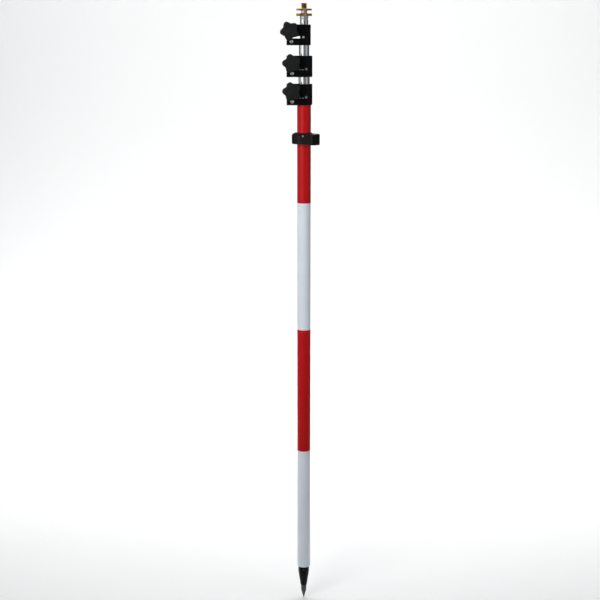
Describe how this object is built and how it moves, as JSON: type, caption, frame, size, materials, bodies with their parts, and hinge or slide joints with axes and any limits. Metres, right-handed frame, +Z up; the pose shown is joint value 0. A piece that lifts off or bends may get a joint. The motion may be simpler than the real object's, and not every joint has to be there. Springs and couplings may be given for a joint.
{
  "type": "prism pole",
  "caption": "Telescopic surveying pole with red and white bands, star-knob clamps, a screw-adjusted brass prism stud, a bull's-eye level on a sliding collar and a steel point.",
  "frame": {"origin": "the sharp tip of the steel ground point", "axes": "+Z up the pole, -Y towards the knobs and the level, +X away from the clamping ears"},
  "size_m": [0.0905, 0.075, 1.4565],
  "materials": {
    "white_paint": "aluminium under a smooth white powder coat, semi-gloss",
    "red_film": "smooth red film, semi-gloss",
    "tube_aluminium": "drawn and clear anodised tube",
    "turned_aluminium": "turned, clear anodised",
    "black_anodised": "aluminium, black anodised, satin",
    "knob_plastic": "moulded black plastic, fine texture",
    "steel": "zinc-plated or stainless fastener",
    "dark_steel": "blackened hardened steel",
    "brass": "turned and knurled brass",
    "nylon": "natural nylon",
    "seal_rubber": "black rubber",
    "level_glass": "clear glass",
    "level_fluid": "yellow-green level liquid"
  },
  "bodies": {
    "pole": {"point_tip": "dark_steel", "point_body": "black_anodised", "point_set_screw": "dark_steel", "lower_plug": "turned_aluminium", "outer_tube": "white_paint", "red_bands": "red_film", "top_bush_1": "nylon", "clamp_body_1": "black_anodised", "pinch_screw_1": "steel", "clamp_bolt_1": "steel", "plunger_body_1": "steel"},
    "tube_1": {"inner_tube_1": "tube_aluminium", "foot_bush_1": "nylon", "top_bush_2": "nylon", "clamp_body_2": "black_anodised", "pinch_screw_2": "steel", "clamp_bolt_2": "steel", "plunger_body_2": "steel"},
    "tube_2": {"inner_tube_2": "tube_aluminium", "foot_bush_2": "nylon", "top_bush_3": "nylon", "clamp_body_3": "black_anodised", "pinch_screw_3": "steel", "clamp_bolt_3": "steel", "plunger_body_3": "steel"},
    "tube_3": {"inner_tube_3": "tube_aluminium", "foot_bush_3": "nylon", "head_bush": "turned_aluminium", "head_screw": "dark_steel"},
    "head_nut": {"lock_nut": "brass"},
    "head_tip": {"tip_shaft": "turned_aluminium", "prism_stud": "brass"},
    "level_liner": {"vial_liner": "nylon"},
    "level": {"vial_holder": "black_anodised", "vial_lock_screw": "steel", "vial_seat_ring": "seal_rubber", "vial_case": "turned_aluminium", "vial_fluid": "level_fluid", "vial_lens": "level_glass", "vial_adjusting_screws": "brass"},
    "detent_1": {"detent_ball_1": "steel", "detent_spring_1": "steel"},
    "washer_1": {"knob_washer_1": "steel"},
    "knob_1": {"star_knob_1": "knob_plastic", "knob_insert_1": "brass"},
    "detent_2": {"detent_ball_2": "steel", "detent_spring_2": "steel"},
    "washer_2": {"knob_washer_2": "steel"},
    "knob_2": {"star_knob_2": "knob_plastic", "knob_insert_2": "brass"},
    "detent_3": {"detent_ball_3": "steel", "detent_spring_3": "steel"},
    "washer_3": {"knob_washer_3": "steel"},
    "knob_3": {"star_knob_3": "knob_plastic", "knob_insert_3": "brass"}
  },
  "joints": [
    {"name": "tube_1_slide", "type": "slide", "parent": "pole", "child": "tube_1", "axis": [0, 0, 1], "range_m": [-0.014, 1.04]},
    {"name": "tube_2_slide", "type": "slide", "parent": "tube_1", "child": "tube_2", "axis": [0, 0, 1], "range_m": [-0.021, 1.04]},
    {"name": "tube_3_slide", "type": "slide", "parent": "tube_2", "child": "tube_3", "axis": [0, 0, 1], "range_m": [-0.017, 1.036]},
    {"name": "washer_1_slide", "type": "slide", "parent": "pole", "child": "washer_1", "axis": [0, -1, 0], "range_m": [0, 0.002]},
    {"name": "knob_1_turn", "type": "hinge", "parent": "washer_1", "child": "knob_1", "pos_m": [-0.0282, -0.019, 1.2598], "axis": [0, -1, 0], "range_deg": [0, 720]},
    {"name": "washer_2_slide", "type": "slide", "parent": "tube_1", "child": "washer_2", "axis": [0, -1, 0], "range_m": [0, 0.002]},
    {"name": "knob_2_turn", "type": "hinge", "parent": "washer_2", "child": "knob_2", "pos_m": [-0.0282, -0.019, 1.3226], "axis": [0, -1, 0], "range_deg": [0, 720]},
    {"name": "washer_3_slide", "type": "slide", "parent": "tube_2", "child": "washer_3", "axis": [0, -1, 0], "range_m": [0, 0.002]},
    {"name": "knob_3_turn", "type": "hinge", "parent": "washer_3", "child": "knob_3", "pos_m": [-0.0328, -0.0152, 1.3951], "axis": [0, -1, 0], "range_deg": [0, 720]},
    {"name": "detent_1_press", "type": "slide", "parent": "pole", "child": "detent_1", "axis": [0.2419, -0.9703, 0], "range_m": [0, 0.0008], "stiffness_N_per_m": 300},
    {"name": "detent_2_press", "type": "slide", "parent": "tube_1", "child": "detent_2", "axis": [0.2419, -0.9703, 0], "range_m": [0, 0.0008], "stiffness_N_per_m": 300},
    {"name": "detent_3_press", "type": "slide", "parent": "tube_2", "child": "detent_3", "axis": [-0.1045, -0.9945, 0], "range_m": [0, 0.0008], "stiffness_N_per_m": 300},
    {"name": "lock_nut_turn", "type": "hinge", "parent": "tube_3", "child": "head_nut", "pos_m": [0, 0, 1.428], "axis": [0, 0, 1], "range_deg": [-2880, 720]},
    {"name": "head_tip_slide", "type": "slide", "parent": "tube_3", "child": "head_tip", "axis": [0, 0, 1], "range_m": [-0.004, 0.016]},
    {"name": "level_slide", "type": "slide", "parent": "pole", "child": "level_liner", "axis": [0, 0, 1], "range_m": [-1, 0.058]},
    {"name": "level_swivel", "type": "hinge", "parent": "level_liner", "child": "level", "pos_m": [0, 0, 1.151], "axis": [0, 0, 1], "continuous": true}
  ],
  "couplings": [
    {"joint": "knob_1_turn", "follows": "washer_1_slide", "rad_per_m": 6283.2},
    {"joint": "knob_2_turn", "follows": "washer_2_slide", "rad_per_m": 6283.2},
    {"joint": "knob_3_turn", "follows": "washer_3_slide", "rad_per_m": 6283.2},
    {"joint": "lock_nut_turn", "follows": "head_tip_slide", "rad_per_m": -3141.6}
  ]
}
